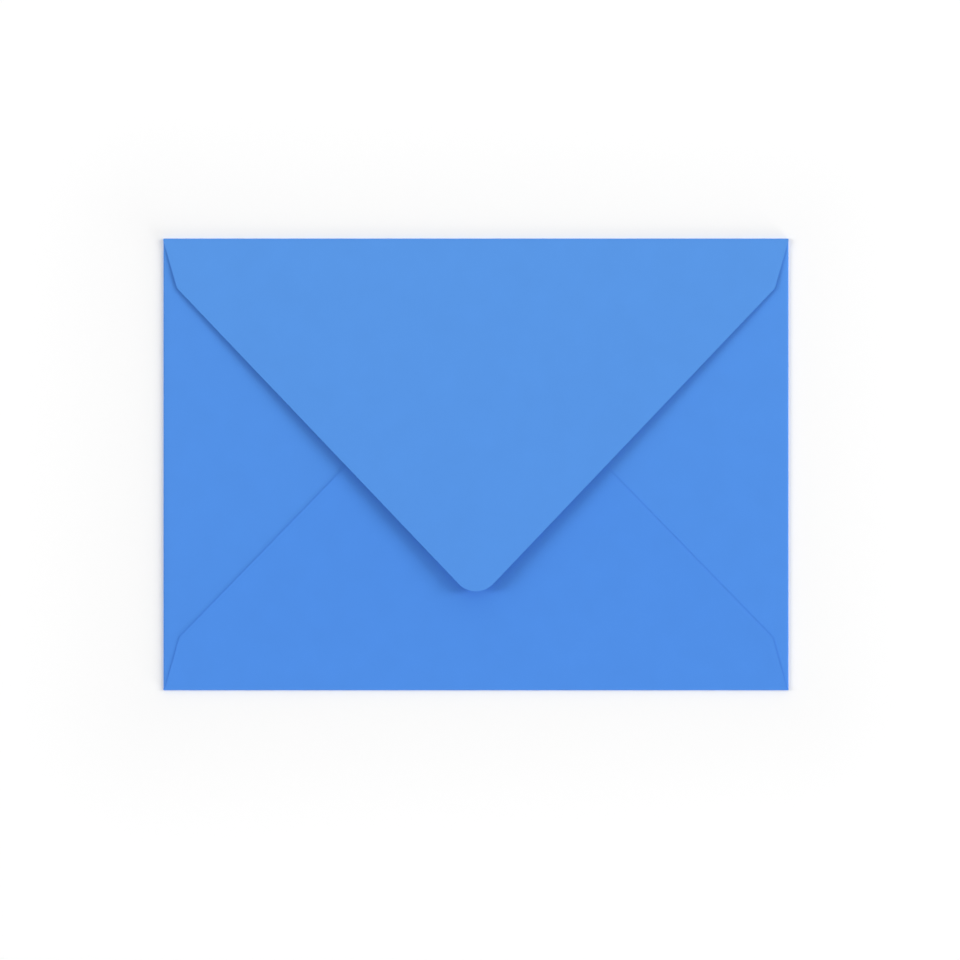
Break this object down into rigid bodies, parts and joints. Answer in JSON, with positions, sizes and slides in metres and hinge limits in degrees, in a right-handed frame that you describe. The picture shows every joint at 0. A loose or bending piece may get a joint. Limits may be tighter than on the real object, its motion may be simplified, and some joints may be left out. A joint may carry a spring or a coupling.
{
  "type": "paper envelope",
  "caption": "Paper envelope for a folded card, with a pointed top flap folded down unsealed over its glued side and bottom flaps.",
  "frame": {"origin": "centre of the front panel's outer face, which lies face down", "axes": "+X along the long edge, +Y up to the crease of the top flap, +Z out of the back, where the flaps are"},
  "size_m": [0.184, 0.133, 0.0057],
  "materials": {
    "paper": "smooth matte dyed paper"
  },
  "bodies": {
    "root": {"envelope": "paper"}
  },
  "joints": []
}
